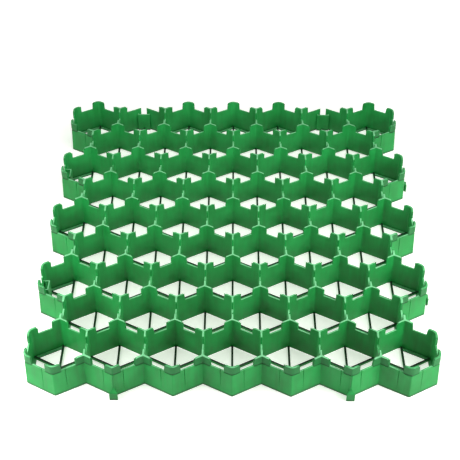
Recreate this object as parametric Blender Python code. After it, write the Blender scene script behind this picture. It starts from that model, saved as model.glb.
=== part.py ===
# Grass grid paver: one moulded honeycomb panel. Rows of pointed cells run along +Y, a raised
# tab stands on every joint of the walls, and six ribs cross in the foot of each cell. Lugs at
# the front and right drop into the pockets at the back and left of the next panel.
# The origin is under the centre of the middle cell. Metres, +Z up.
import math

import bmesh
import bpy
from mathutils import Matrix, Vector

MM = 0.001

# Honeycomb
CELL_PITCH = 56.0 * MM
ROWS = 9
CELLS_IN_WIDE_ROW = 7
WALL = 1.6 * MM
LOW_HEIGHT = 29.4 * MM

# Tabs on the joints of the walls
TAB_HEIGHT = 8.6 * MM
TAB_REACH = 9.4 * MM
TAB_LEAN = 1.3 * MM

# Ribs across the foot of each cell
RIB_WIDTH = 1.6 * MM
RIB_HEIGHT = 2.6 * MM

# Outer walls, thicker at the foot and tapering up to the low edge. Their tabs overhang the
# taper a little at the joints, and a groove beside each outer point narrows to the foot.
FOOT_TAPER = 0.8 * MM
TAB_OVERHANG = 0.5 * MM
OVERHANG_STEP = 0.5 * MM
GROOVE_WIDTH = 0.9 * MM
GROOVE_DEPTH = 0.6 * MM
GROOVE_FOOT_WIDTH = 0.1 * MM
GROOVE_FROM_TAB = 3.0 * MM

# Lugs, on these cells and rows counted from each end
LUG_CELL = 2
LUG_ROW = 3
LUG_HEAD = 8.0 * MM
LUG_HEAD_DEPTH = 1.4 * MM
LUG_FLARE = 0.8 * MM
LUG_NECK = 4.6 * MM
LUG_PROTRUSION = 5.1 * MM
LUG_BLOCK_HEIGHT = 9.0 * MM
LUG_SLOPE_HEIGHT = 8.0 * MM
SPINE_WIDTH = 2.0 * MM
SPINE_PROUD = 0.9 * MM
SPINE_BELOW_TAB = 1.0 * MM

# Pockets for the lugs of the next panel
MOUTH_CLEARANCE = 1.2 * MM
HEAD_CLEARANCE = 1.9 * MM
END_CLEARANCE = 2.3 * MM
POCKET_WALL = 1.6 * MM
POCKET_ABOVE_LUG = 6.0 * MM

GREEN = (0.028, 0.27, 0.068, 1.0)
ROUGHNESS = 0.45

# Sizes that follow from those above
WALL_LENGTH = CELL_PITCH / math.sqrt(3)
ROW_PITCH = 1.5 * WALL_LENGTH
HALF_WALL = WALL / 2
OUTSIDE = HALF_WALL + FOOT_TAPER
TAB_OUTSIDE = HALF_WALL + TAB_OVERHANG
MITRE = 1 / math.cos(math.radians(30))
INNER_CORNER = HALF_WALL * math.tan(math.radians(30))
RIB_FOOT = INNER_CORNER + RIB_WIDTH / 2 / math.sin(math.radians(60))
GROOVE_START = TAB_REACH + GROOVE_FROM_TAB
LUG_TOP = LUG_BLOCK_HEIGHT + LUG_SLOPE_HEIGHT
MOUTH = LUG_NECK + 2 * MOUTH_CLEARANCE
POCKET_INNER = LUG_HEAD + 2 * HEAD_CLEARANCE
POCKET_OUTER = POCKET_INNER + 2 * POCKET_WALL
POCKET_TOP = LUG_TOP + POCKET_ABOVE_LUG
FULL_HEIGHT = LOW_HEIGHT + TAB_HEIGHT
PAST = 5.0 * MM

# Kinds of plan face, by how high each one rises
RIB, WALL_RUN, TAB = 1, 2, 3


def heading(degrees):
    angle = math.radians(degrees)
    return Vector((math.cos(angle), math.sin(angle), 0))


def row_centres(row):
    """Cell centres of one row, counted from the front. Every second row is one cell shorter."""
    count = CELLS_IN_WIDE_ROW - row % 2
    y = (row - (ROWS - 1) / 2) * ROW_PITCH
    return [Vector(((i - (count - 1) / 2) * CELL_PITCH, y, 0)) for i in range(count)]


def all_centres():
    return [centre for row in range(ROWS) for centre in row_centres(row)]


def is_open(centre, side, centres):
    """Whether no cell lies across a side. Side 0 is the right wall, and they run anticlockwise."""
    across = centre + heading(60 * side) * CELL_PITCH
    return all((across - other).length > CELL_PITCH / 4 for other in centres)


def outer_corner(centre, side, end, offset, centres):
    """Where the outer faces meet at one end of a side: end is -1 clockwise, 1 anticlockwise."""
    joint = centre + heading(60 * side + 30 * end) * WALL_LENGTH
    turn = end if is_open(centre, side + end, centres) else -end
    return joint + heading(60 * side + 30 * turn) * offset * MITRE


def pocket_joints():
    """The back points at which a pocket takes the place of a tab."""
    back = row_centres(ROWS - 1)
    return [back[i] + heading(90) * WALL_LENGTH for i in (LUG_CELL - 1, -LUG_CELL)]


def add_face(bm, layers, kind, points):
    """A plan face. A point that moves on its way up to the low edge comes as a pair of places."""
    verts = []
    for point in points:
        foot, low = point if isinstance(point, tuple) else (point, point)
        vert = bm.verts.new(foot)
        vert[layers["draw"]] = low - foot
        verts.append(vert)
    bm.faces.new(verts)[layers["kind"]] = kind


def add_cell(bm, layers, centre, centres):
    """The plan of one cell: its half of each wall, the outer half of its open ones, and its ribs."""
    bare = pocket_joints()
    for side in range(6):
        start = centre + heading(60 * side - 30) * WALL_LENGTH
        along = heading(60 * side + 90)
        across = heading(60 * side)

        def at(distance, offset):
            return start + along * distance + across * offset

        far = WALL_LENGTH - TAB_REACH
        ends = [at(0, 0), at(WALL_LENGTH, 0)]
        tab = [WALL_RUN if min((end - b).length for b in bare) < WALL else TAB for end in ends]
        near_face = [at(0, 0), at(TAB_REACH, 0), at(TAB_REACH, -HALF_WALL)]
        near_face += [at(RIB_FOOT, -HALF_WALL), at(INNER_CORNER, -HALF_WALL)]
        far_face = [at(WALL_LENGTH, 0), at(far, 0), at(far, -HALF_WALL)]
        far_face += [at(WALL_LENGTH - RIB_FOOT, -HALF_WALL)]
        far_face += [at(WALL_LENGTH - INNER_CORNER, -HALF_WALL)]
        middle = [at(TAB_REACH, 0), at(far, 0), at(far, -HALF_WALL), at(TAB_REACH, -HALF_WALL)]
        add_face(bm, layers, tab[0], near_face)
        add_face(bm, layers, tab[1], far_face)
        add_face(bm, layers, WALL_RUN, middle)

        hub = [centre + heading(60 * side + turn) * RIB_WIDTH for turn in (0, 60)]
        next_along = heading(60 * side + 150)
        next_start = at(WALL_LENGTH, 0)
        next_foot = next_start + next_along * RIB_FOOT - heading(60 * side + 60) * HALF_WALL
        spoke = [at(WALL_LENGTH - INNER_CORNER, -HALF_WALL), next_foot]
        spoke += [hub[1], hub[0], at(WALL_LENGTH - RIB_FOOT, -HALF_WALL)]
        add_face(bm, layers, RIB, spoke)

        if is_open(centre, side, centres):
            add_outer_half(bm, layers, centre, side, tab, centres, at)
    add_face(bm, layers, RIB, [centre + heading(60 * side) * RIB_WIDTH for side in range(6)])


def add_outer_half(bm, layers, centre, side, tab, centres, at):
    """The outer half of an open wall, with the tapered skin outside it and under its tabs."""
    far = WALL_LENGTH - TAB_REACH
    rows = []
    for i, (end, foot) in enumerate(((0, TAB_REACH), (WALL_LENGTH, far))):
        overhangs = tab[i] == TAB
        offset = TAB_OUTSIDE if overhangs else HALF_WALL
        step = Vector((0, 0, OVERHANG_STEP if overhangs else 0))
        turn = 2 * i - 1
        corner, skin_corner, low_corner = [
            outer_corner(centre, side, turn, reach, centres) for reach in (offset, OUTSIDE, HALF_WALL)
        ]
        edge = [corner, at(foot, HALF_WALL)]
        skin = [(skin_corner, low_corner - step), (at(foot, OUTSIDE), at(foot, HALF_WALL))]
        add_face(bm, layers, tab[i], [at(end, 0), at(foot, 0)] + edge[::-1])
        rows.append((edge, skin))

    edge, skin = rows[0]
    if side not in (0, 3):
        middle = GROOVE_START if side in (2, 5) else WALL_LENGTH - GROOVE_START

        def notch(width, offset):
            root = at(middle, offset - GROOVE_DEPTH * width / GROOVE_WIDTH)
            return [at(middle - width / 2, offset), root, at(middle + width / 2, offset)]

        groove = notch(GROOVE_WIDTH, HALF_WALL)
        edge += [groove[0], (at(middle, HALF_WALL), groove[1]), groove[2]]
        skin += list(zip(notch(GROOVE_FOOT_WIDTH, OUTSIDE), groove))
    edge += rows[1][0][::-1]
    skin += rows[1][1][::-1]
    add_face(bm, layers, WALL_RUN, [at(far, 0), at(TAB_REACH, 0)] + edge[1:-1])
    for i in range(len(edge) - 1):
        add_face(bm, layers, WALL_RUN, [edge[i], edge[i + 1], skin[i + 1], skin[i]])


def raise_faces(bm, layers, faces, height):
    """Extrudes plan faces up to a height, with the taper, and returns the new top faces."""
    raised = bmesh.ops.extrude_face_region(bm, geom=faces)["geom"]
    for vert in raised:
        if isinstance(vert, bmesh.types.BMVert):
            draw = vert[layers["draw"]]
            flat = Vector((draw.x, draw.y, 0))
            if height < LOW_HEIGHT:
                vert.co += flat * height / (LOW_HEIGHT + draw.z)
            elif height == LOW_HEIGHT:
                vert.co += flat * (1 - RIB_HEIGHT / (LOW_HEIGHT + draw.z))
            vert.co.z = height + (draw.z if height == LOW_HEIGHT else 0)
    return [face for face in raised if isinstance(face, bmesh.types.BMFace)]


def lean_tabs(faces, centres):
    """Draws the ends of each tab's top in along its walls."""
    joints = [centre + heading(turn) * WALL_LENGTH for centre in centres for turn in range(30, 390, 60)]
    walls = [heading(turn) for turn in range(30, 390, 60)]
    for vert in {vert for face in faces for vert in face.verts}:
        flat = Vector((vert.co.x, vert.co.y, 0))
        arm = min((flat - joint for joint in joints), key=lambda offset: offset.length)
        if arm.length > TAB_REACH / 2:
            vert.co -= max(walls, key=arm.dot) * TAB_LEAN


def honeycomb():
    """The walls, tabs and ribs as one closed mesh, raised from the plan in three steps."""
    bm = bmesh.new()
    layers = {"kind": bm.faces.layers.int.new("kind"), "draw": bm.verts.layers.float_vector.new("draw")}
    centres = all_centres()
    for centre in centres:
        add_cell(bm, layers, centre, centres)
    bmesh.ops.remove_doubles(bm, verts=bm.verts, dist=0.00001)
    tops = raise_faces(bm, layers, list(bm.faces), RIB_HEIGHT)
    for rising, height in (((WALL_RUN, TAB), LOW_HEIGHT), ((TAB,), FULL_HEIGHT)):
        under = [face for face in tops if face[layers["kind"]] in rising]
        tops = raise_faces(bm, layers, under, height)
        bmesh.ops.delete(bm, geom=[face for face in under if face.is_valid], context="FACES")
    lean_tabs(tops, centres)
    bmesh.ops.remove_doubles(bm, verts=bm.verts, dist=0.00001)
    bmesh.ops.recalc_face_normals(bm, faces=bm.faces)
    bmesh.ops.dissolve_limit(bm, angle_limit=math.radians(0.1), verts=bm.verts, edges=bm.edges)
    return bm


def add_loft(bm, sections):
    """A closed solid through outlines that have the same number of points."""
    rings = [[bm.verts.new(point) for point in section] for section in sections]
    count = len(rings[0])
    for lower, upper in zip(rings, rings[1:]):
        for i in range(count):
            j = (i + 1) % count
            bm.faces.new([lower[i], lower[j], upper[j], upper[i]])
    bm.faces.new(rings[0][::-1])
    bm.faces.new(rings[-1])


def prism(outline, low, high, place):
    return [[place @ Vector((x, y, z)) for x, y in outline] for z in (low, high)]


def lug_sections(face, place):
    """A lug's outlines from the foot up: a headed block, then a slope that ends in a thin spine."""
    def outline(neck, head, tip, depth, flare):
        half = [(neck / 2, 0), (neck / 2, tip - depth - flare), (head / 2, tip - depth), (head / 2, tip)]
        return half + [(-x, y) for x, y in reversed(half)]

    def spine(height):
        tip = face * (1 - FOOT_TAPER / OUTSIDE * height / LOW_HEIGHT) + SPINE_PROUD
        return outline(SPINE_WIDTH, SPINE_WIDTH, tip, SPINE_PROUD / 4, SPINE_PROUD / 4)

    block = outline(LUG_NECK, LUG_HEAD, face + LUG_PROTRUSION, LUG_HEAD_DEPTH, LUG_FLARE)
    levels = [(0, block), (LUG_BLOCK_HEIGHT, block)]
    levels += [(height, spine(height)) for height in (LUG_TOP, LOW_HEIGHT - SPINE_BELOW_TAB)]
    return [[place @ Vector((x, y, z)) for x, y in points] for z, points in levels]


def pocket_outline(face, fall):
    """A pocket's U in plan. Its legs end inside the wall, which falls away at this slope."""
    depth = LUG_PROTRUSION + END_CLEARANCE - face
    inner = POCKET_INNER / 2
    outer = POCKET_OUTER / 2
    outside = [(-outer, -outer * fall), (-outer, -depth - POCKET_WALL)]
    outside += [(outer, -depth - POCKET_WALL), (outer, -outer * fall)]
    inside = [(inner, -inner * fall), (inner, -depth), (-inner, -depth), (-inner, -inner * fall)]
    return outside + inside


def mouth_outline(face):
    """The slot through the wall, which also takes the end of the rib inside the pocket."""
    depth = LUG_PROTRUSION + END_CLEARANCE - face + POCKET_WALL / 2
    return [(-MOUTH / 2, -depth), (MOUTH / 2, -depth), (MOUTH / 2, PAST), (-MOUTH / 2, PAST)]


def placed(point, turn):
    """A place at a wall or point, with its own +Y turned to face out of the panel."""
    return Matrix.Translation(point) @ Matrix.Rotation(math.radians(turn), 4, "Z")


def joining_places():
    """Where the lugs and pockets stand: each with its outer face's distance and its wall's slope."""
    front = row_centres(0)
    slope = math.tan(math.radians(30))
    half_width = heading(0) * CELLS_IN_WIDE_ROW / 2 * CELL_PITCH
    lugs = []
    pockets = []
    for i in (LUG_CELL - 1, -LUG_CELL):
        lugs.append((placed(front[i] - heading(90) * WALL_LENGTH, 180), OUTSIDE * MITRE, slope))
    for row in (LUG_ROW - 1, ROWS - LUG_ROW):
        middle = Vector((0, row_centres(row)[0].y, 0))
        lugs.append((placed(middle + half_width, -90), OUTSIDE, 0))
        pockets.append((placed(middle - half_width, 90), OUTSIDE, 0))
    for point in pocket_joints():
        pockets.append((placed(point, 0), OUTSIDE * MITRE, slope))
    return lugs, pockets


def add_object(name, bm):
    mesh = bpy.data.meshes.new(name)
    bmesh.ops.recalc_face_normals(bm, faces=bm.faces)
    bm.to_mesh(mesh)
    bm.free()
    obj = bpy.data.objects.new(name, mesh)
    bpy.context.scene.collection.objects.link(obj)
    return obj


def add_helper(name, solids):
    """Several closed solids in one mesh, used only by a Boolean."""
    bm = bmesh.new()
    for sections in solids:
        add_loft(bm, sections)
    obj = add_object(name, bm)
    obj.hide_render = True
    obj.display_type = "WIRE"
    return obj


def add_boolean(obj, operation, other):
    modifier = obj.modifiers.new(other.name, "BOOLEAN")
    modifier.operation = operation
    modifier.object = other
    modifier.solver = "EXACT"


def green_plastic():
    material = bpy.data.materials.new("greenPlastic")
    material.use_nodes = True
    shader = material.node_tree.nodes["Principled BSDF"]
    shader.inputs["Base Color"].default_value = GREEN
    shader.inputs["Roughness"].default_value = ROUGHNESS
    shader.inputs["Metallic"].default_value = 0.0
    return material


def build_paver():
    for obj in list(bpy.data.objects):
        bpy.data.objects.remove(obj, do_unlink=True)
    lugs, pockets = joining_places()
    mouths = [prism(mouth_outline(face), -PAST, FULL_HEIGHT + PAST, place) for place, face, _ in pockets]
    cups = [prism(pocket_outline(face, slope), 0, POCKET_TOP, place) for place, face, slope in pockets]
    paver = add_object("grass_grid_paver", honeycomb())
    add_boolean(paver, "DIFFERENCE", add_helper("pocket_mouths", mouths))
    add_boolean(paver, "UNION", add_helper("pocket_cups", cups))
    add_boolean(paver, "UNION", add_helper("lugs", [lug_sections(face, place) for place, face, _ in lugs]))
    paver.data.materials.append(green_plastic())


build_paver()
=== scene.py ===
# Looks of the grass grid paver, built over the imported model. Metres, +Z up, front towards -Y.
import math

import bmesh
import bpy
from mathutils import Matrix, Vector


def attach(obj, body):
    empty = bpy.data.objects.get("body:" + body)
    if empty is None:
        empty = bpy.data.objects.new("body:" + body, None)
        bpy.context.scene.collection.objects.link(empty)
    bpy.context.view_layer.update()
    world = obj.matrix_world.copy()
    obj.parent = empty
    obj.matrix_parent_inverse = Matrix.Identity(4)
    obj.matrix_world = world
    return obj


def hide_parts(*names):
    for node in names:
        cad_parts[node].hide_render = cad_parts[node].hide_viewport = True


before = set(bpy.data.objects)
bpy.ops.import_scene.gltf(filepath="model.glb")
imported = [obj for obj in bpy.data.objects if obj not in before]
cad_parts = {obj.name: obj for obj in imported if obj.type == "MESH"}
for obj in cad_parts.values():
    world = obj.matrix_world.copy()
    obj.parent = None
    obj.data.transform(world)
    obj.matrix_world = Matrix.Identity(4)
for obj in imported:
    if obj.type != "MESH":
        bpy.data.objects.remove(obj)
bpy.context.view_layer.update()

# Sizes that the pieces share. The slot's three and the lift are this scene's own, the rest the model's
panel = {
    "cellPitch": 0.056,
    "rows": 9,
    "cellsInWideRow": 7,
    "wall": 0.0016,
    "footTaper": 0.0008,  # how much thicker the outer walls are at the foot
    "tabOverhang": 0.0005,  # how far an outer tab stands out over the taper
    "slotHeight": 0.0022,  # of the shadow gap under an outer tab
    "slotDepth": 0.0004,  # behind the face of the wall
    "slotSlope": 0.0001,  # how far its roof and its floor close in towards the back
    "lowHeight": 0.0294,
    "innerLift": 0.0016,  # how far the walls between the cells stop above the ground
}

sin60 = math.sin(math.radians(60))
tan30 = math.tan(math.radians(30))
mitre = 1 / math.cos(math.radians(30))
wallLength = panel["cellPitch"] / (2 * sin60)
rowPitch = 1.5 * wallLength
halfWall = panel["wall"] / 2
outside = halfWall + panel["footTaper"]


def heading(degrees):
    angle = math.radians(degrees)
    return Vector((math.cos(angle), math.sin(angle), 0))


def rowCentres(row):
    count = panel["cellsInWideRow"] - row % 2
    y = (row - (panel["rows"] - 1) / 2) * rowPitch
    return [Vector(((i - (count - 1) / 2) * panel["cellPitch"], y, 0)) for i in range(count)]


cellCentres = [centre for row in range(panel["rows"]) for centre in rowCentres(row)]


def isOpen(centre, side):
    # side 0 is the right wall, and they run anticlockwise
    across = centre + heading(60 * side) * panel["cellPitch"]
    return all((across - other).length > panel["cellPitch"] / 4 for other in cellCentres)


# Node and mesh helpers

finish = {
    "merge": 0.00001,  # points closer than this become one as a piece is put together
    "weld": 0.000005,  # and once its tree has run
    "cut": 0.000001,  # points this near to a cut are taken to lie on it
    "cutReach": 0.03,  # how far from its place a cut goes
    "flatWithin": 0.1,  # degrees between faces that are joined into one
    "softAbove": 32,  # edges that turn by more degrees than this are rounded
    "sharpAbove": 50,  # and the shading breaks at those above this
    "flatWeight": 100,  # how far the larger faces lead the shading, at its highest
}


def addNode(tree, kind, inputs=None, **settings):
    node = tree.nodes.new(kind)
    for name, value in settings.items():
        setattr(node, name, value)
    for key, value in (inputs or {}).items():
        socket = node.inputs[key]
        if isinstance(value, bpy.types.NodeSocket):
            tree.links.new(value, socket)
        else:
            socket.default_value = value
    return node


def addMath(tree, operation, a, b=0.0):
    return addNode(tree, "ShaderNodeMath", {0: a, 1: b}, operation=operation).outputs[0]


def mixColour(tree, share, a, b):
    node = addNode(tree, "ShaderNodeMix", {0: share, 6: a, 7: b}, data_type="RGBA")
    return node.outputs[2]


def newTree(name, sockets):
    tree = bpy.data.node_groups.new(name, "GeometryNodeTree")
    tree.interface.new_socket("Geometry", in_out="INPUT", socket_type="NodeSocketGeometry")
    tree.interface.new_socket("Geometry", in_out="OUTPUT", socket_type="NodeSocketGeometry")
    for label, kind in sockets.items():
        tree.interface.new_socket(label, in_out="INPUT", socket_type="NodeSocket" + kind)
    return tree, tree.nodes.new("NodeGroupInput").outputs, tree.nodes.new("NodeGroupOutput").inputs


def addPiece(name, bm):
    mesh = bpy.data.meshes.new(name)
    bm.to_mesh(mesh)
    bm.free()
    obj = bpy.data.objects.new(name, mesh)
    bpy.context.scene.collection.objects.link(obj)
    return obj


def freeze(obj):
    # swaps the mesh for what its modifiers make of it
    depsgraph = bpy.context.evaluated_depsgraph_get()
    mesh = bpy.data.meshes.new_from_object(obj.evaluated_get(depsgraph))
    obj.modifiers.clear()
    obj.data = mesh
    mesh.name = obj.name


def applyTree(obj, tree, values):
    modifier = obj.modifiers.new(tree.name, "NODES")
    modifier.node_group = tree
    for item in tree.interface.items_tree:
        if item.in_out == "INPUT" and item.name in values:
            modifier[item.identifier] = values[item.name]
    freeze(obj)


def tidyFaces(obj):
    bm = bmesh.new()
    bm.from_mesh(obj.data)
    bmesh.ops.remove_doubles(bm, verts=bm.verts, dist=finish["weld"])
    bmesh.ops.recalc_face_normals(bm, faces=bm.faces)
    flat = math.radians(finish["flatWithin"])
    bmesh.ops.dissolve_limit(bm, angle_limit=flat, verts=bm.verts, edges=bm.edges)
    bm.to_mesh(obj.data)
    bm.free()


def softenEdges(obj, width, segments=2):
    # rounds the edges a little, and shades so that the flat faces stay flat
    obj.data.shade_smooth()
    bevel = obj.modifiers.new("softEdges", "BEVEL")
    bevel.width = width
    bevel.segments = segments
    bevel.limit_method = "ANGLE"
    bevel.angle_limit = math.radians(finish["softAbove"])
    freeze(obj)
    obj.data.set_sharp_from_angle(angle=math.radians(finish["sharpAbove"]))
    flat = obj.modifiers.new("flatFaces", "WEIGHTED_NORMAL")
    flat.keep_sharp = True
    flat.weight = finish["flatWeight"]
    freeze(obj)


def cutNear(bm, place, edge, normal):
    # cuts the faces near a place in two along a plane
    near = []
    for face in bm.faces:
        if (face.calc_center_median() - place.translation).length < finish["cutReach"]:
            near.append(face)
    parts = {item for face in near for item in (face, *face.edges, *face.verts)}
    bmesh.ops.bisect_plane(bm, geom=list(parts), plane_co=edge, plane_no=normal, dist=finish["cut"])


def placed(point, turn):
    # a place at a wall or point, whose own +Y looks out of the panel
    return Matrix.Translation(point) @ Matrix.Rotation(math.radians(turn), 4, "Z")


# Green plastic

plastic = {
    "deep": (0.005, 0.190, 0.031, 1),
    "mid": (0.012, 0.285, 0.057, 1),
    "deepAt": 0.35,  # where the two colours stand on the mixed patches and streaks
    "midAt": 0.62,
    "patch": 0.035,  # size of the slow colour patches
    "patchDetail": 3.0,
    "patchShare": 0.65,  # against the streaks
    "streak": 0.004,  # width of the moulding streaks down the walls
    "streakStretch": 0.12,  # the smaller, the longer they are
    "streakRange": (0.3, 0.7),  # of their noise, over which the roughness changes
    "roughness": (0.38, 0.56),
    "grain": 0.0007,
    "fineDetail": 2.0,  # of the streaks and the grain
    "grainHeight": 0.00003,
    "grainStrength": 0.6,
    "edge": (0.220, 0.620, 0.310, 1),  # painted highlight on the tops
    "highlightAmount": 0.7,
    "topsFrom": 0.70,  # how far up a face looks before it counts as a top
    "topsTo": 0.95,
    "paleFrom": 0.012,  # the height over which tops take the painted highlight
    "paleTo": 0.020,
    "flangeHighlight": 0.4,  # how much painted highlight the flanges at the foot of the outer walls take
    "flangeFrom": 1.5,  # the value of the mark that picks them out
    "foot": (0.004, 0.020, 0.009, 1),  # the tops of the ribs
    "footBelow": 0.006,
    "gap": (0.004, 0.070, 0.014, 1),  # shade, as under the outer tabs and in the grooves
    "gapOnTops": 0.8,  # the share above which tops take it too
    "tab": (0.005, 0.125, 0.026, 1),  # painted shade on the faces of the outer tabs
    "tabShadeShare": 0.8,
    "contactShadow": (0.006, 0.045, 0.016, 1),  # painted contact shadow, a thin dark line at the foot of the walls
    "contactFrom": 0.0008,
    "contactTo": 0.0030,
    "contactAmount": 0.8,
    "markFrom": 0.01,  # a mark nearer to 0 than this is none
    "specular": 0.34,
    "ior": 1.49,
}

# Kinds of plan face: only the tabs rise above the low edge
wallRun, tab, outerTab = 1, 2, 3

# The points of every mesh but the ribs' carry a mark of painted highlight and shade: 1 where a top takes
# the full highlight, less where it takes less, more than flangeFrom on the foot flanges, below 0 for shade


def bodyColour(tree, spot):
    # slow patches and streaks of two greens, and a roughness that follows the streaks
    patches = addNode(tree, "ShaderNodeTexNoise", {
        "Vector": spot, "Scale": 1 / plastic["patch"], "Detail": plastic["patchDetail"],
    })
    stretched = addNode(tree, "ShaderNodeMapping", {
        "Vector": spot, "Scale": (1, 1, plastic["streakStretch"]),
    })
    streaks = addNode(tree, "ShaderNodeTexNoise", {
        "Vector": stretched.outputs[0], "Scale": 1 / plastic["streak"], "Detail": plastic["fineDetail"],
    })
    patchPart = addMath(tree, "MULTIPLY", patches.outputs["Fac"], plastic["patchShare"])
    streakPart = addMath(tree, "MULTIPLY", streaks.outputs["Fac"], 1 - plastic["patchShare"])
    body = addNode(tree, "ShaderNodeValToRGB", {"Fac": addMath(tree, "ADD", patchPart, streakPart)})
    deep, mid = body.color_ramp.elements
    deep.position, deep.color = plastic["deepAt"], plastic["deep"]
    mid.position, mid.color = plastic["midAt"], plastic["mid"]
    low, high = plastic["streakRange"]
    smooth, rough = plastic["roughness"]
    roughness = addNode(tree, "ShaderNodeMapRange", {
        "Value": streaks.outputs["Fac"], "From Min": low, "From Max": high, "To Min": smooth, "To Max": rough,
    })
    return body.outputs["Color"], roughness.outputs[0]


def markedColour(tree, spot, colour):
    # lays the pale and dark places over the body colour, from height, facing and the marks in the mesh
    normal = addNode(tree, "ShaderNodeNewGeometry").outputs["Normal"]
    up = addNode(tree, "ShaderNodeSeparateXYZ", {0: normal}).outputs["Z"]
    height = addNode(tree, "ShaderNodeSeparateXYZ", {0: spot}).outputs["Z"]
    top = addNode(tree, "ShaderNodeMapRange", {
        "Value": up, "From Min": plastic["topsFrom"], "From Max": plastic["topsTo"],
    }).outputs[0]
    aside = addMath(tree, "SUBTRACT", 1.0, top)
    highlightAndShade = addNode(tree, "ShaderNodeAttribute", attribute_name="highlightAndShade").outputs["Fac"]
    kind = addNode(tree, "ShaderNodeAttribute", attribute_name="kind").outputs["Fac"]

    # painted shade: the faces of the outer tabs are darker than the walls
    onOuterTab = addMath(tree, "GREATER_THAN", kind, (tab + outerTab) / 2)
    outer = addMath(tree, "MULTIPLY", addMath(tree, "MULTIPLY", onOuterTab, aside), plastic["tabShadeShare"])
    colour = mixColour(tree, outer, colour, plastic["tab"])

    # painted highlight: tops high on the walls are painted pale, and those of the foot flanges a little
    high = addNode(tree, "ShaderNodeMapRange", {
        "Value": height, "From Min": plastic["paleFrom"], "From Max": plastic["paleTo"],
    }).outputs[0]
    onFlange = addMath(tree, "GREATER_THAN", highlightAndShade, plastic["flangeFrom"])
    pale = addMath(tree, "MAXIMUM", high, addMath(tree, "MULTIPLY", onFlange, plastic["flangeHighlight"]))
    amount = addMath(tree, "MULTIPLY", highlightAndShade, plastic["highlightAmount"])
    highlight = addMath(tree, "MULTIPLY", addMath(tree, "MULTIPLY", top, pale), amount)
    colour = mixColour(tree, addMath(tree, "MAXIMUM", highlight, 0.0), colour, plastic["edge"])

    # a negative mark is painted shade, on the sides alone unless it is strong
    shade = addMath(tree, "MAXIMUM", addMath(tree, "MULTIPLY", highlightAndShade, -1.0), 0.0)
    strong = addMath(tree, "GREATER_THAN", shade, plastic["gapOnTops"])
    shade = addMath(tree, "MULTIPLY", shade, addMath(tree, "MAXIMUM", aside, strong))
    colour = mixColour(tree, shade, colour, plastic["gap"])

    # painted contact shadow: walls are dark along the ground, but the ribs, which carry no mark, aren't
    contactShadow = addNode(tree, "ShaderNodeMapRange", {
        "Value": height, "From Min": plastic["contactFrom"], "From Max": plastic["contactTo"],
        "To Min": plastic["contactAmount"], "To Max": 0.0,
    }).outputs[0]
    marked = addMath(tree, "GREATER_THAN", addMath(tree, "ABSOLUTE", highlightAndShade), plastic["markFrom"])
    dark = addMath(tree, "MULTIPLY", addMath(tree, "MULTIPLY", contactShadow, aside), marked)
    colour = mixColour(tree, dark, colour, plastic["contactShadow"])

    # the tops of the ribs are nearly black
    onRib = addMath(tree, "MULTIPLY", top, addMath(tree, "LESS_THAN", height, plastic["footBelow"]))
    onRib = addMath(tree, "MULTIPLY", onRib, addMath(tree, "SUBTRACT", 1.0, onFlange))
    return mixColour(tree, onRib, colour, plastic["foot"])


def greenPlastic():
    material = bpy.data.materials.new("greenPlastic")
    material.use_nodes = True
    tree = material.node_tree
    shader = tree.nodes["Principled BSDF"]
    spot = addNode(tree, "ShaderNodeTexCoord").outputs["Object"]
    colour, roughness = bodyColour(tree, spot)
    tree.links.new(markedColour(tree, spot, colour), shader.inputs["Base Color"])
    tree.links.new(roughness, shader.inputs["Roughness"])
    grain = addNode(tree, "ShaderNodeTexNoise", {
        "Vector": spot, "Scale": 1 / plastic["grain"], "Detail": plastic["fineDetail"],
    })
    bump = addNode(tree, "ShaderNodeBump", {
        "Height": grain.outputs["Fac"],
        "Distance": plastic["grainHeight"], "Strength": plastic["grainStrength"],
    })
    tree.links.new(bump.outputs[0], shader.inputs["Normal"])
    shader.inputs["IOR"].default_value = plastic["ior"]
    shader.inputs["Specular IOR Level"].default_value = plastic["specular"]
    return material


green = greenPlastic()
print("plastic ready")


# Honeycomb: walls and tabs

# Tabs are upright, with rounded shoulders
tabs = {
    "height": 0.0086,
    "reach": 0.0094,  # along a wall, from the joint to the tab's foot
    "reachAtPoint": 0.0086,  # along a slanted wall, from an outer point
    "lean": 0.0006,
    "shoulder": 0.0024,
    "steps": 5,  # round a shoulder
    "levelWithin": 0.0001,  # how near a point is to a level to move with it
}

comb = {
    "grooveWidth": 0.0009,
    "grooveFoot": 0.0001,  # its width at the foot
    "grooveDepth": 0.0008,
    "grooveStart": 0.0124,  # from an outer point
    "grooveByLug": 0.0104,  # from one where a lug stands
    "cellFillet": 0.0020,  # inside a cell's corners
    "pointFillet": 0.0050,  # inside an outer point
    "tabNose": 0.0065,  # of the tabs, outside an outer point
    "wallNose": 0.0016,  # of the wall below them, and of both where a lug stands
    "hollowFillet": 0.0010,  # outside, where two walls meet inwards
    "softEdge": 0.00022,
    "pointHighlight": 0.25,  # the painted highlight on top of the tabs at the outer points
    "slotHighlight": 0.4,  # the painted highlight on the wall's edge under the outer tabs
    "slotShade": -1,
    "grooveShade": -0.6,
    "endShade": -0.7,  # down the middle of the tabs' ends on the side walls
    "farHighlight": 0.3,  # the painted highlight left at the far end of slanted tabs, from a joint whose side wall runs to the front
}


def tabStations(reach):
    # from a joint outwards: how far along, how far the top drops, and how far it leans in
    straight = reach - tabs["lean"] - tabs["shoulder"]
    stations = []
    for step in range(tabs["steps"]):
        turn = math.radians(90 * step / tabs["steps"])
        drop = tabs["shoulder"] * (1 - math.cos(turn))
        stations.append((straight + tabs["shoulder"] * math.sin(turn), drop, 0))
    stations.append((reach, tabs["shoulder"], tabs["lean"]))
    return stations


def halfArc(corner, line, inwards, radius, steps=3):
    # rounds half a 120 degree corner, from its tangent point on one line to its middle
    centre = corner + inwards * radius / sin60
    start = corner + line * radius * tan30 - centre
    end = -inwards * radius
    points = []
    for step in range(steps + 1):
        turn = math.radians(30 * step / steps)
        mix = start * math.sin(math.radians(30) - turn) + end * math.sin(turn)
        points.append(centre + mix / math.sin(math.radians(30)))
    return points


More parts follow.
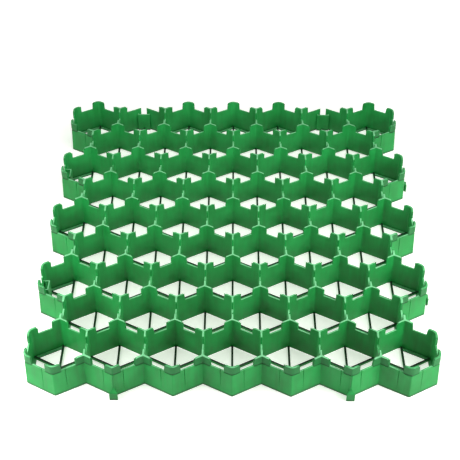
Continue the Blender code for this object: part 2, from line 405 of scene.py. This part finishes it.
class Plan:
    # the flat plan of the panel, with what each point and face does when it is raised

    def __init__(self):
        self.bm = bmesh.new()
        self.kind = self.bm.faces.layers.int.new("kind")
        self.grounded = self.bm.faces.layers.int.new("grounded")
        self.onGround = 0  # 1 while the walls that are added stand on the ground
        verts = self.bm.verts.layers
        self.layers = {name: verts.float_vector.new(name) for name in ("atFoot", "atLow", "atTop")}
        self.layers["highlightAndShade"] = verts.float.new("highlightAndShade")

    def addFace(self, kind, points):
        # a point is a place, or a place with its moves at the foot, the low edge and the top, and its mark
        verts = []
        for point in points:
            place, moves = point if isinstance(point, tuple) else (point, {})
            vert = self.bm.verts.new(place)
            for name, move in moves.items():
                vert[self.layers[name]] = move
            verts.append(vert)
        face = self.bm.faces.new(verts)
        face[self.kind] = kind
        face[self.grounded] = self.onGround
        face.normal_update()
        if face.normal.z < 0:
            face.normal_flip()

    def addRows(self, rows):
        # wall faces between rows that have the same number of points
        for near, out in zip(rows, rows[1:]):
            for i in range(len(near) - 1):
                self.addFace(wallRun, [near[i], near[i + 1], out[i + 1], out[i]])


class WallEnd:
    # a cell's share of one end of a wall, where end is -1 clockwise and 1 anticlockwise

    def __init__(self, plan, centre, side, end, bare):
        self.plan = plan
        self.outwards = heading(60 * side + 30 * end)
        self.joint = centre + self.outwards * wallLength
        self.along = heading(60 * side - 90 * end)
        self.across = heading(60 * side)
        self.half = wallLength / 2
        self.sideWall = side in (0, 3)
        self.outer = isOpen(centre, side)
        self.pointed = self.outer and isOpen(centre, side + end)
        self.hasTab = not any((self.joint - other).length < halfWall for other in bare)
        self.fades = not self.sideWall and (60 * side + 30 * end) % 120 == 30
        self.lugged = any((self.joint - place.translation).length < halfWall for place, _ in lugPlaces)
        self.grooved = not self.sideWall and end == (1 if side in (1, 4) else -1)
        self.reach = tabs["reachAtPoint" if self.pointed and not self.sideWall else "reach"]
        self.stations = tabStations(self.reach)

        # which way the outer corner lies, which way it is rounded, and how much at the tab and the wall
        if self.pointed:
            self.turned, self.inwards = self.outwards, -self.outwards
            self.tabRadius = comb["wallNose" if self.lugged else "tabNose"]
            self.wallRadius = comb["wallNose"]
        else:
            self.turned = self.inwards = heading(60 * side - 30 * end)
            self.tabRadius = self.wallRadius = comb["hollowFillet"]

    def at(self, distance, offset):
        return self.joint + self.along * distance + self.across * offset

    def stationAt(self, station, offset):
        distance, drop, lean = station
        moves = {"atTop": -self.along * lean - Vector((0, 0, drop))}
        if self.pointed and distance < self.reach:
            moves["highlightAndShade"] = comb["pointHighlight"]
        elif self.fades:
            moves["highlightAndShade"] = 1 - (1 - comb["farHighlight"]) * distance / self.reach
        return self.at(distance, offset), moves

    def addStrip(self, kind, offsets, corner):
        # one side of a tab, from its middle line out, with the corner at the joint
        line = [self.stationAt(station, offset) for station, offset in zip(self.stations, offsets)]
        middle = [self.stationAt(station, 0) for station in self.stations]
        tip = self.joint
        if self.sideWall:
            middle[-1][1]["highlightAndShade"] = comb["endShade"]
        if self.pointed:
            corner = [(point, {"highlightAndShade": comb["pointHighlight"]}) for point in corner]
            tip = (tip, {"highlightAndShade": comb["pointHighlight"]})
        self.plan.addFace(kind, [tip, middle[0], line[0]] + corner)
        for i in range(len(self.stations) - 1):
            self.plan.addFace(kind, [middle[i], middle[i + 1], line[i + 1], line[i]])
        return line

    def addRun(self, offset, between=()):
        # half of the wall's length between its tabs, on one side of its middle line
        near, far = self.at(self.reach, offset), self.at(self.half, offset)
        middle = [self.at(self.reach, 0), self.at(self.half, 0)]
        self.plan.addFace(wallRun, [*middle, far, *between, near])

    def addInnerHalf(self):
        fillet = comb["pointFillet" if self.pointed and not self.lugged else "cellFillet"]
        corner = halfArc(self.at(halfWall * tan30, -halfWall), self.along, -self.outwards, fillet)
        self.addStrip(tab if self.hasTab else wallRun, [-halfWall] * len(self.stations), corner)
        self.addRun(-halfWall)

    def noseAt(self, offset, radius):
        corner = self.joint + self.turned * offset * mitre
        return halfArc(corner, self.along, self.inwards, radius)[::-1]

    def rowAt(self, footOffset, lowOffset, drop, highlightAndShade):
        # one row of points outside the tab, from its nose to its foot, where each row ends in the low edge
        row = []
        fall = Vector((0, 0, -drop))
        lows = self.noseAt(lowOffset, self.wallRadius)
        for foot, low in zip(self.noseAt(footOffset, self.wallRadius), lows):
            row.append((foot, {"atLow": low - foot + fall, "highlightAndShade": highlightAndShade}))
        for distance, _, _ in self.stations[:-1]:
            move = self.across * (lowOffset - footOffset) + fall
            row.append((self.at(distance, footOffset), {"atLow": move, "highlightAndShade": highlightAndShade}))
        last = {"atLow": self.across * (halfWall - footOffset)}
        return row + [(self.at(self.reach, footOffset), last)]

    def skinAt(self, distance):
        return self.at(distance, outside), {"atLow": -self.across * panel["footTaper"]}

    def grooveLines(self):
        # the groove's three lines, where they are in the wall's face and in the skin's foot
        face, skin = [], []
        if not self.grooved:
            return face, skin
        middle = comb["grooveByLug" if self.lugged else "grooveStart"]
        narrow = comb["grooveFoot"] / comb["grooveWidth"]
        for turn in (-1, 0, 1):
            aside = turn * comb["grooveWidth"] / 2
            dip = -comb["grooveDepth"] * self.across * (1 - abs(turn))
            low = self.at(middle + aside, halfWall) + dip
            foot = self.at(middle + aside * narrow, outside) + dip * narrow
            shade = {"highlightAndShade": comb["grooveShade"] * (1 - abs(turn))}
            face.append((self.at(middle + aside, halfWall), {"atLow": dip, **shade}))
            skin.append((foot, {"atLow": low - foot, **shade}))
        return face, skin

    def addOuterHalf(self):
        # a tab that stands out over a thin gap, and a skin that tapers from the foot
        proud, back, gap = halfWall, halfWall, 0
        if self.hasTab:
            proud += panel["tabOverhang"]
            back -= panel["slotDepth"]
            gap = panel["slotHeight"]
        nose = self.noseAt(proud, self.tabRadius)
        offsets = [proud] * (len(self.stations) - 1) + [halfWall]
        line = self.addStrip(outerTab if self.hasTab else wallRun, offsets, nose[::-1])
        rows = [nose + line]
        if self.hasTab:
            third = (outside - proud) / 3
            shade, slope = comb["slotShade"], panel["slotSlope"]
            rows.append(self.rowAt(proud + third, back, slope, shade))
            rows.append(self.rowAt(proud + 2 * third, back, gap - slope, shade))
        rows.append(self.rowAt(outside, halfWall, gap, comb["slotHighlight"]))
        self.plan.addRows(rows)

        groove, grooveSkin = self.grooveLines()
        self.addRun(halfWall, groove[::-1])
        edge = [line[-1]] + groove + [self.at(self.half, halfWall)]
        skin = [self.skinAt(self.reach)] + grooveSkin + [self.skinAt(self.half)]
        # beside the tab's foot the rows of the gap lie inside the skin's edge, so it is one face there
        between = [row[-1] for row in rows[-2:0:-1]]
        self.plan.addFace(wallRun, between + [edge[0], edge[1], skin[1], skin[0]])
        self.plan.addRows([edge[1:], skin[1:]])

    def add(self):
        self.plan.onGround = int(self.outer)
        self.addInnerHalf()
        if self.outer:
            self.addOuterHalf()


def cutSlot(bm, place):
    # takes the mouth of a pocket out of the wall
    back = place.inverted()
    sideways = place.to_3x3() @ Vector((1, 0, 0))
    half = pocket["mouth"] / 2
    for turn in (-1, 1):
        cutNear(bm, place, place @ Vector((turn * half, 0, 0)), sideways)
    gone = []
    for face in bm.faces:
        local = back @ face.calc_center_median()
        if abs(local.x) < half and abs(local.y) < pocket["slotReach"]:
            gone.append(face)
    bmesh.ops.delete(bm, geom=gone, context="FACES")


def raisedComb():
    # the tree that raises the plan to the low edge, and the tabs on from there
    tree, given, result = newTree("raisePlan", {
        "Low Height": "Float", "Tab Height": "Float", "Material": "Material",
    })
    plan = given["Geometry"]
    under = addNode(tree, "GeometryNodeFlipFaces", {"Mesh": plan}).outputs[0]
    up = (0.0, 0.0, 1.0)
    walls = addNode(tree, "GeometryNodeExtrudeMesh", {
        "Mesh": plan, "Offset": up, "Offset Scale": given["Low Height"], "Individual": False,
    })
    kind = addNode(tree, "GeometryNodeInputNamedAttribute", {"Name": "kind"}, data_type="INT")
    isTab = addNode(
        tree, "FunctionNodeCompare", {2: kind.outputs[0], 3: tab}, data_type="INT", operation="GREATER_EQUAL",
    )
    rising = addNode(tree, "FunctionNodeBooleanMath", {0: walls.outputs["Top"], 1: isTab.outputs[0]})
    raised = addNode(tree, "GeometryNodeExtrudeMesh", {
        "Mesh": walls.outputs["Mesh"], "Selection": rising.outputs[0], "Offset": up,
        "Offset Scale": given["Tab Height"], "Individual": False,
    })
    whole = addNode(tree, "GeometryNodeJoinGeometry")
    tree.links.new(under, whole.inputs[0])
    tree.links.new(raised.outputs["Mesh"], whole.inputs[0])
    merged = addNode(tree, "GeometryNodeMergeByDistance", {
        "Geometry": whole.outputs[0], "Distance": finish["merge"],
    })

    # each point then moves as it was told to at its own level
    place = addNode(tree, "ShaderNodeSeparateXYZ", {0: addNode(tree, "GeometryNodeInputPosition").outputs[0]})
    top = addMath(tree, "ADD", given["Low Height"], given["Tab Height"])
    shaped = merged
    for name, level in (("atTop", top), ("atLow", given["Low Height"]), ("atFoot", 0.0)):
        move = addNode(tree, "GeometryNodeInputNamedAttribute", {"Name": name}, data_type="FLOAT_VECTOR")
        apart = addMath(tree, "ABSOLUTE", addMath(tree, "SUBTRACT", place.outputs["Z"], level))
        atLevel = addMath(tree, "LESS_THAN", apart, tabs["levelWithin"])
        shaped = addNode(tree, "GeometryNodeSetPosition", {
            "Geometry": shaped.outputs[0], "Selection": atLevel, "Offset": move.outputs[0],
        })
    real = addNode(tree, "GeometryNodeRealizeInstances", {"Geometry": shaped.outputs[0]})
    finished = addNode(tree, "GeometryNodeSetMaterial", {
        "Geometry": real.outputs[0], "Material": given["Material"],
    })
    tree.links.new(finished.outputs[0], result[0])
    return tree


# Lugs at the front and right, and pockets at the back and left

lug = {
    "cell": 2,  # counted from each end
    "row": 3,
    "head": 0.008,  # width of the block at its outer end
    "headDepth": 0.0014,
    "flare": 0.0008,  # how far back from the head it narrows to the neck
    "neck": 0.0046,
    "protrusion": 0.0051,  # beyond the foot of the outer wall
    "blockHeight": 0.009,
    "slopeHeight": 0.0062,  # from the block up to the thin spine
    "slopeSteps": 8,
    "slopeBow": 3.4,  # 1 is a straight slope
    "spine": 0.0015,
    "spineProud": 0.0010,
    "spineTop": 0.0284,
    "softEdge": 0.0003,
    # a little painted shade on the lug's sides, and no painted highlight on its tops
    "highlightAndShade": -0.3,
}

pocket = {
    "mouth": 0.007,  # width of the way in through the wall
    "inner": 0.0118,  # width inside the U
    "wall": 0.0016,
    "depth": 0.0074,  # from the outer face's line to the inside of the U
    "height": 0.023,
    "slotReach": 0.012,  # how far on each side of the wall its mouth is cleared
    "softEdge": 0.00025,
    # its tops take the painted highlight in full
    "highlightAndShade": 1,
}

panelHalf = panel["cellsInWideRow"] / 2 * panel["cellPitch"]
pointReach = outside * mitre  # how far the foot stands out from an outer joint


def joiningPlaces():
    # with each place goes how far the wall's foot stands out there, and with a pocket's how its ends slope
    front = rowCentres(0)
    back = rowCentres(panel["rows"] - 1)
    lugs, pockets = [], []
    for i in (lug["cell"] - 1, -lug["cell"]):
        lugs.append((placed(front[i] - heading(90) * wallLength, 180), pointReach))
        pockets.append((placed(back[i] + heading(90) * wallLength, 0), pointReach, tan30))
    for row in (lug["row"] - 1, panel["rows"] - lug["row"]):
        y = rowCentres(row)[0].y
        lugs.append((placed(Vector((panelHalf, y, 0)), -90), outside))
        pockets.append((placed(Vector((-panelHalf, y, 0)), 90), outside, 0))
    return lugs, pockets


def addLoft(bm, place, sections):
    # closes a skin over outlines that have the same number of points
    rings = [[bm.verts.new(place @ Vector((x, y, z))) for x, y in outline] for z, outline in sections]
    count = len(rings[0])
    for lower, upper in zip(rings, rings[1:]):
        for i in range(count):
            j = (i + 1) % count
            bm.faces.new([lower[i], lower[j], upper[j], upper[i]])
    bm.faces.new(rings[0][::-1])
    bm.faces.new(rings[-1])


def lugSections(face):
    def outline(neck, head, tip, depth, flare):
        half = [(neck / 2, 0), (neck / 2, tip - depth - flare), (head / 2, tip - depth), (head / 2, tip)]
        return half + [(-x, y) for x, y in reversed(half)]

    def between(a, b, share):
        return [(ax + (bx - ax) * share, ay + (by - ay) * share) for (ax, ay), (bx, by) in zip(a, b)]

    def spineAt(height):
        # the spine lies along the taper of the wall behind it
        tip = face * (1 - panel["footTaper"] / outside * height / panel["lowHeight"]) + lug["spineProud"]
        quarter = lug["spineProud"] / 4
        return outline(lug["spine"], lug["spine"], tip, quarter, quarter)

    block = outline(lug["neck"], lug["head"], face + lug["protrusion"], lug["headDepth"], lug["flare"])
    slopeTop = lug["blockHeight"] + lug["slopeHeight"]
    sections = [(0, block), (lug["blockHeight"], block)]
    for step in range(1, lug["slopeSteps"] + 1):
        share = step / lug["slopeSteps"]
        bowed = 1 - (1 - share) ** lug["slopeBow"]
        height = lug["blockHeight"] + lug["slopeHeight"] * share
        sections.append((height, between(block, spineAt(slopeTop), bowed)))
    return sections + [(lug["spineTop"], spineAt(lug["spineTop"]))]


def pocketSections(face, fall):
    depth = pocket["depth"] - face
    inner = pocket["inner"] / 2
    outer = inner + pocket["wall"]
    far = -depth - pocket["wall"]
    outline = [(-outer, -outer * fall), (-outer, far), (outer, far), (outer, -outer * fall)]
    outline += [(inner, -inner * fall), (inner, -depth), (-inner, -depth), (-inner, -inner * fall)]
    return [(0, outline), (pocket["height"], outline)]


lugPlaces, pocketPlaces = joiningPlaces()


def buildComb():
    plan = Plan()
    bare = [place.translation for place, _, fall in pocketPlaces if fall]
    for centre in cellCentres:
        for side in range(6):
            for end in (-1, 1):
                WallEnd(plan, centre, side, end, bare).add()
    bmesh.ops.remove_doubles(plan.bm, verts=plan.bm.verts, dist=finish["merge"])
    highlightAndShade = plan.layers["highlightAndShade"]
    for vert in plan.bm.verts:
        vert[highlightAndShade] = vert[highlightAndShade] or 1
        if not any(face[plan.grounded] for face in vert.link_faces):
            vert[plan.layers["atFoot"]] = (0, 0, panel["innerLift"])
    for place, _, _ in pocketPlaces:
        cutSlot(plan.bm, place)
    obj = addPiece("honeycomb", plan.bm)
    applyTree(obj, raisedComb(), {
        "Low Height": panel["lowHeight"], "Tab Height": tabs["height"], "Material": green,
    })
    tidyFaces(obj)
    print("honeycomb raised:", len(obj.data.polygons), "faces")
    softenEdges(obj, comb["softEdge"])
    print("honeycomb softened:", len(obj.data.polygons), "faces")
    return obj


honeycomb = buildComb()


# Ribs: a six-armed star in the foot of each cell

rib = {
    "width": 0.0021,
    "height": 0.0028,
    "softEdge": 0.0002,
    "cutPast": 0.005,  # how far past an outer point its end is looked for
}


def ribStar(tree, given):
    # one star, standing on the cell's centre: a hub without sides, and arms without an inner end
    width, tall = given["Rib Width"], given["Rib Height"]
    halfTall = addMath(tree, "MULTIPLY", tall, 0.5)
    lift = addNode(tree, "ShaderNodeCombineXYZ", {"Z": halfTall}).outputs[0]
    hub = addNode(tree, "GeometryNodeMeshCylinder", {"Vertices": 6, "Radius": width, "Depth": tall})
    hub = addNode(tree, "GeometryNodeTransform", {"Geometry": hub.outputs["Mesh"], "Translation": lift})
    normal = addNode(tree, "ShaderNodeSeparateXYZ", {0: addNode(tree, "GeometryNodeInputNormal").outputs[0]})
    flat = addMath(tree, "ABSOLUTE", normal.outputs["Z"])
    hub = addNode(tree, "GeometryNodeDeleteGeometry", {
        "Geometry": hub.outputs[0], "Selection": addMath(tree, "LESS_THAN", flat, 0.5),
    }, domain="FACE")
    size = addNode(tree, "ShaderNodeCombineXYZ", {"X": given["Arm Length"], "Y": width, "Z": tall})
    bar = addNode(tree, "GeometryNodeMeshCube", {"Size": size.outputs[0]})
    start = addMath(tree, "MULTIPLY", width, sin60)
    middle = addMath(tree, "ADD", start, addMath(tree, "MULTIPLY", given["Arm Length"], 0.5))
    shift = addNode(tree, "ShaderNodeCombineXYZ", {"X": middle, "Z": halfTall})
    bar = addNode(tree, "GeometryNodeTransform", {
        "Geometry": bar.outputs["Mesh"], "Translation": shift.outputs[0],
    })
    bar = addNode(tree, "GeometryNodeDeleteGeometry", {
        "Geometry": bar.outputs[0], "Selection": addMath(tree, "LESS_THAN", normal.outputs["X"], -0.5),
    }, domain="FACE")
    index = addNode(tree, "GeometryNodeInputIndex").outputs[0]
    turn = addMath(tree, "ADD", addMath(tree, "MULTIPLY", index, math.radians(60)), math.radians(30))
    turn = addNode(tree, "ShaderNodeCombineXYZ", {"Z": turn}).outputs[0]
    six = addNode(tree, "GeometryNodePoints", {"Count": 6})
    arms = addNode(tree, "GeometryNodeInstanceOnPoints", {
        "Points": six.outputs[0], "Instance": bar.outputs[0], "Rotation": turn,
    })
    star = addNode(tree, "GeometryNodeJoinGeometry")
    tree.links.new(hub.outputs[0], star.inputs[0])
    tree.links.new(arms.outputs[0], star.inputs[0])
    return star.outputs[0]


def cellPoints(tree, given):
    # a point on every cell's centre, where each second row is one cell shorter
    wide, pitch = given["Cells In Wide Row"], given["Cell Pitch"]
    index = addNode(tree, "GeometryNodeInputIndex").outputs[0]
    row = addMath(tree, "FLOOR", addMath(tree, "DIVIDE", index, wide))
    column = addMath(tree, "SUBTRACT", index, addMath(tree, "MULTIPLY", row, wide))
    short = addMath(tree, "MODULO", row, 2.0)
    middleColumn = addMath(tree, "MULTIPLY", addMath(tree, "SUBTRACT", wide, 1.0), 0.5)
    x = addMath(tree, "SUBTRACT", column, middleColumn)
    x = addMath(tree, "MULTIPLY", addMath(tree, "ADD", x, addMath(tree, "MULTIPLY", short, 0.5)), pitch)
    middleRow = addMath(tree, "MULTIPLY", addMath(tree, "SUBTRACT", given["Rows"], 1.0), 0.5)
    y = addMath(tree, "MULTIPLY", addMath(tree, "SUBTRACT", row, middleRow), pitch)
    y = addMath(tree, "MULTIPLY", y, sin60)
    centre = addNode(tree, "ShaderNodeCombineXYZ", {"X": x, "Y": y}).outputs[0]
    cells = addNode(tree, "GeometryNodePoints", {
        "Count": addMath(tree, "MULTIPLY", given["Rows"], wide), "Position": centre,
    })
    last = addMath(tree, "COMPARE", column, addMath(tree, "SUBTRACT", wide, 1.0))
    last = addMath(tree, "MULTIPLY", last, short)
    cells = addNode(tree, "GeometryNodeDeleteGeometry", {"Geometry": cells.outputs[0], "Selection": last})
    return cells.outputs[0]


def ribStars():
    tree, given, result = newTree("ribStars", {
        "Rows": "Int", "Cells In Wide Row": "Int", "Cell Pitch": "Float", "Arm Length": "Float",
        "Rib Width": "Float", "Rib Height": "Float", "Material": "Material",
    })
    stars = addNode(tree, "GeometryNodeInstanceOnPoints", {
        "Points": cellPoints(tree, given), "Instance": ribStar(tree, given),
    })
    real = addNode(tree, "GeometryNodeRealizeInstances", {"Geometry": stars.outputs[0]})
    merged = addNode(tree, "GeometryNodeMergeByDistance", {
        "Geometry": real.outputs[0], "Distance": finish["merge"],
    })
    finished = addNode(tree, "GeometryNodeSetMaterial", {
        "Geometry": merged.outputs[0], "Material": given["Material"],
    })
    tree.links.new(finished.outputs[0], result[0])
    return tree


def buildRibs():
    obj = addPiece("cellRibs", bmesh.new())
    arm = wallLength - halfWall - rib["width"] * sin60
    applyTree(obj, ribStars(), {
        "Rows": panel["rows"], "Cells In Wide Row": panel["cellsInWideRow"],
        "Cell Pitch": panel["cellPitch"], "Arm Length": arm,
        "Rib Width": rib["width"], "Rib Height": rib["height"], "Material": green,
    })
    bm = bmesh.new()
    bm.from_mesh(obj.data)
    for place, face, fall in pocketPlaces:
        if fall:
            cutRibs(bm, place, face)
    bm.to_mesh(obj.data)
    bm.free()
    tidyFaces(obj)
    softenEdges(obj, rib["softEdge"], 1)
    print("ribs placed:", len(obj.data.polygons), "faces")
    return obj


def cutRibs(bm, place, face):
    # ends the rib that runs to a back point inside the wall of the pocket
    depth = pocket["depth"] - face + pocket["wall"] / 2
    cutNear(bm, place, place @ Vector((0, -depth, 0)), place.to_3x3() @ Vector((0, 1, 0)))
    back = place.inverted()
    gone = []
    for item in bm.faces:
        local = back @ item.calc_center_median()
        if abs(local.x) < pocket["mouth"] / 2 and -depth < local.y < rib["cutPast"]:
            gone.append(item)
    bmesh.ops.delete(bm, geom=gone, context="FACES")
    # closes the cut end, whose outline has fewer sides than this
    bmesh.ops.holes_fill(bm, edges=[edge for edge in bm.edges if edge.is_boundary], sides=8)


# A thin flange at the foot of the outer walls, inside the cells, except where a pocket stands
flange = {
    "width": 0.0030,
    "height": 0.0012,
    "fromPocket": 0.6,  # the least distance between their middles, as a share of a wall's length
    "softEdge": 0.0001,
    # picks out the flange, whose top takes a little painted highlight
    "highlightAndShade": 1.6,
}


def flangePlaces():
    places = []
    for centre in cellCentres:
        for side in range(6):
            place = placed(centre + heading(60 * side) * panel["cellPitch"] / 2, 60 * side - 90)
            apart = min((place.translation - other[0].translation).length for other in pocketPlaces)
            if isOpen(centre, side) and apart > wallLength * flange["fromPocket"]:
                places.append((place,))
    return places


def flangeSections():
    # its ends follow the lines that halve the cell's corners
    near, far = halfWall / 2, halfWall + flange["width"]
    nearX, farX = wallLength / 2 - near * tan30, wallLength / 2 - far * tan30
    outline = [(-nearX, -near), (nearX, -near), (farX, -far), (-farX, -far)]
    return [(0, outline), (flange["height"], outline)]


def buildLofts(name, places, sections, sizes):
    bm = bmesh.new()
    for place, *shape in places:
        addLoft(bm, place, sections(*shape))
    bmesh.ops.recalc_face_normals(bm, faces=bm.faces)
    highlightAndShade = bm.verts.layers.float.new("highlightAndShade")
    for vert in bm.verts:
        vert[highlightAndShade] = sizes["highlightAndShade"]
    obj = addPiece(name, bm)
    obj.data.materials.append(green)
    softenEdges(obj, sizes["softEdge"])
    print(name, "built:", len(obj.data.polygons), "faces")
    return obj


pieces = [honeycomb, buildRibs()]
pieces.append(buildLofts("lugs", lugPlaces, lugSections, lug))
pieces.append(buildLofts("pockets", pocketPlaces, pocketSections, pocket))
pieces.append(buildLofts("footFlanges", flangePlaces(), flangeSections, flange))
for piece in pieces:
    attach(piece, "root")
    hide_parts("grass_grid_paver")
print("pieces fitted to the model")


# Floor, light and camera

studio = {
    "floorSize": 8.0,
    "floorDrop": 0.0002,  # below the part's underside
    "floorRoughness": 0.9,
    "floor": (0.80, 0.79, 0.78, 1),  # its own colour, to which the glow adds
    "floorGlow": 0.60,  # as the camera sees it under the part
    # painted green bounce light from the walls, on the floor near the part
    "floorTint": (0.95, 1.00, 0.90, 1),
    "whiteFrom": 0.25,  # how far from the middle the floor begins to turn white
    "whiteAt": 0.50,
    "floorBounce": 0.46,  # as it lights the part from below
    "world": 0.02,  # as it lights the part, where the camera sees white
    "lamps": {
        # place, what it points at, size and watts
        "nearLeftLamp": ((-0.42, -0.35, 0.28), (0, 0, 0), 0.3, 0.3),
        "nearRightLamp": ((0.42, -0.35, 0.28), (0, 0, 0), 0.3, 1.9),
        "farRightLamp": ((0.90, -0.70, 0.50), (0, 0, 0), 0.6, 4.5),
        "highRightLamp": ((0.60, -0.40, 1.00), (0, 0, 0), 0.6, 0.5),
        "lowLeftLamp": ((-0.30, -0.28, 0.16), (0, 0, 0), 0.15, 0.72),
        "leftLamp": ((-0.32, -0.05, 0.20), (0, 0, 0), 0.2, 0.4),
        "rightLamp": ((0.32, -0.05, 0.20), (0, 0, 0), 0.2, 0.34),
        "topLamp": ((0, 0, 0.35), (0, 0, 0), 0.3, 0.74),
        "backdropLamp": ((0, 0.34, 0.35), (0, 0.80, 0), 0.4, 0.4),
    },
}

shot = {
    "place": (0.00091, -0.94226, 0.79316),
    "tiltDown": 39.46,  # degrees, as the yaw and the roll
    "yaw": 0.246,
    "roll": 0.080,
    "lens": 86.91,  # millimetres, as the sensor
    "sensorWidth": 36,
}


def buildFloor():
    bm = bmesh.new()
    bmesh.ops.create_grid(bm, x_segments=1, y_segments=1, size=studio["floorSize"] / 2)
    bmesh.ops.translate(bm, verts=bm.verts, vec=(0, 0, -studio["floorDrop"]))
    floor = addPiece("floor", bm)
    material = bpy.data.materials.new("paleFloor")
    material.use_nodes = True
    tree = material.node_tree
    shader = tree.nodes["Principled BSDF"]
    shader.inputs["Base Color"].default_value = studio["floor"]
    shader.inputs["Roughness"].default_value = studio["floorRoughness"]
    spot = addNode(tree, "ShaderNodeTexCoord").outputs["Object"]
    far = addNode(tree, "ShaderNodeVectorMath", {0: spot}, operation="LENGTH").outputs["Value"]
    away = addNode(tree, "ShaderNodeMapRange", {
        "Value": far, "From Min": studio["whiteFrom"], "From Max": studio["whiteAt"],
    }).outputs[0]
    tree.links.new(mixColour(tree, away, studio["floorTint"], (1, 1, 1, 1)), shader.inputs["Emission Color"])
    glow = addNode(tree, "ShaderNodeMapRange", {"Value": away, "To Min": studio["floorGlow"], "To Max": 1.0})
    seen = addNode(tree, "ShaderNodeLightPath").outputs["Is Camera Ray"]
    strength = addNode(tree, "ShaderNodeMapRange", {
        "Value": seen, "To Min": studio["floorBounce"], "To Max": glow.outputs[0],
    })
    tree.links.new(strength.outputs[0], shader.inputs["Emission Strength"])
    floor.data.materials.append(material)


def buildWorld():
    world = bpy.data.worlds.new("softRoom")
    bpy.context.scene.world = world
    world.use_nodes = True
    tree = world.node_tree
    path = addNode(tree, "ShaderNodeLightPath").outputs
    seen = addMath(tree, "MAXIMUM", path["Is Camera Ray"], path["Is Glossy Ray"])
    seen = addMath(tree, "MAXIMUM", seen, path["Is Transmission Ray"])
    strength = addNode(tree, "ShaderNodeMapRange", {"Value": seen, "To Min": studio["world"], "To Max": 1.0})
    tree.links.new(strength.outputs[0], tree.nodes["Background"].inputs["Strength"])
    tree.nodes["Background"].inputs["Color"].default_value = (1, 1, 1, 1)


def buildLamps():
    for name, (place, aim, size, watts) in studio["lamps"].items():
        lamp = bpy.data.lights.new(name, "AREA")
        lamp.shape = "SQUARE"
        lamp.size = size
        lamp.energy = watts
        obj = bpy.data.objects.new(name, lamp)
        obj.location = place
        obj.rotation_euler = (Vector(aim) - obj.location).to_track_quat("-Z", "Y").to_euler()
        obj.visible_camera = False
        bpy.context.scene.collection.objects.link(obj)


def buildCamera():
    camera = bpy.data.cameras.new("shot")
    camera.lens = shot["lens"]
    camera.sensor_width = shot["sensorWidth"]
    obj = bpy.data.objects.new("shot", camera)
    obj.location = shot["place"]
    turn = Matrix.Rotation(math.radians(shot["yaw"]), 4, "Z")
    turn = turn @ Matrix.Rotation(math.radians(90 - shot["tiltDown"]), 4, "X")
    obj.rotation_euler = (turn @ Matrix.Rotation(math.radians(shot["roll"]), 4, "Z")).to_euler()
    bpy.context.scene.collection.objects.link(obj)
    bpy.context.scene.camera = obj


buildFloor()
buildWorld()
buildLamps()
buildCamera()
bpy.context.scene.view_settings.view_transform = "Standard"
print("studio ready")
